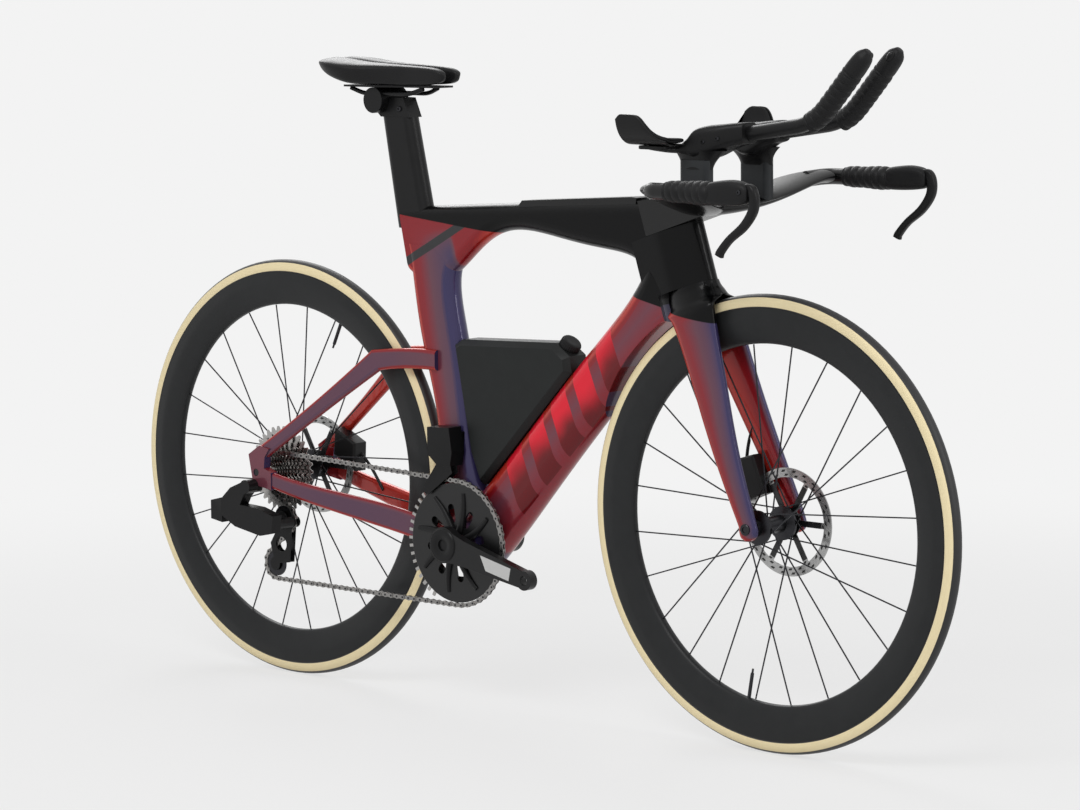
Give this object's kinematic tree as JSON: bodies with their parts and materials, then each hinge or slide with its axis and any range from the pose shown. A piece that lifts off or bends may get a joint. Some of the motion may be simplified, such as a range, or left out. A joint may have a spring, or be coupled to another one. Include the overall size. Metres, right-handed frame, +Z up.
{
  "type": "triathlon bike",
  "caption": "Triathlon bike with aero carbon frame, deep rims, wing base bar with arm rests and extensions, disc brakes, electronic gears and a turning fork.",
  "frame": {"origin": "rider's point on top of the saddle, in the middle plane", "axes": "+X forward, +Y to the rider's left, +Z up"},
  "size_m": [1.6699, 0.438, 1.0362],
  "materials": {
    "frame_paint": "colour shift red to mauve",
    "gloss_black": "gloss black paint over carbon",
    "matte_carbon": "matte black",
    "saddle_cover": "smooth synthetic cover",
    "foam": "dense foam",
    "tape": "wrapped bar tape",
    "tyre": "black tread, cream side wall",
    "rim": "satin carbon",
    "steel": "ground steel",
    "alloy": "anodised dark",
    "bottle": "moulded dark grey",
    "hose": "black hose"
  },
  "bodies": {
    "frame": {"main_frame": "frame_paint", "seat_stays": "frame_paint", "chain_stays": "frame_paint", "rear_axle": "alloy", "storage_lid": "gloss_black", "seatpost": "matte_carbon", "saddle_clamp": "matte_carbon", "saddle_base": "matte_carbon", "saddle": "saddle_cover", "frame_bottle": "bottle", "bottle_cap": "bottle", "bottom_bracket": "alloy", "crank_arm_right": "matte_carbon", "crank_arm_left": "matte_carbon", "chainring_large": "alloy", "chainring_small": "steel", "chain": "steel", "cassette": "steel", "rear_derailleur": "alloy", "derailleur_cage": "alloy", "derailleur_pulleys": "alloy", "front_derailleur": "alloy", "rear_caliper": "alloy", "rear_brake_hose": "hose"},
    "steering": {"fork": "frame_paint", "front_axle": "alloy", "front_caliper": "alloy", "front_brake_hose": "hose", "base_bar": "gloss_black", "bar_tapes": "tape", "lever_bodies": "matte_carbon", "brake_levers": "matte_carbon", "riser_posts": "matte_carbon", "extension_mounts": "matte_carbon", "extensions": "matte_carbon", "extension_tapes": "tape", "arm_cups": "matte_carbon", "arm_pad_left": "foam", "arm_pad_right": "foam"},
    "front_wheel": {"front_tyre": "tyre", "front_rim": "rim", "front_hub": "alloy", "front_rotor": "steel"},
    "rear_wheel": {"rear_tyre": "tyre", "rear_rim": "rim", "rear_hub": "alloy", "rear_rotor": "steel"}
  },
  "joints": [
    {"name": "steering", "type": "hinge", "parent": "frame", "child": "steering", "pos_m": [0.64229, 0, -0.37168], "axis": [-0.309, 0, 0.9511], "range_deg": [-45, 45]},
    {"name": "front_wheel_spin", "type": "hinge", "parent": "steering", "child": "front_wheel", "pos_m": [0.782, 0, -0.657], "axis": [0, 1, 0], "continuous": true},
    {"name": "rear_wheel_spin", "type": "hinge", "parent": "frame", "child": "rear_wheel", "pos_m": [-0.215, 0, -0.657], "axis": [0, 1, 0], "continuous": true}
  ]
}
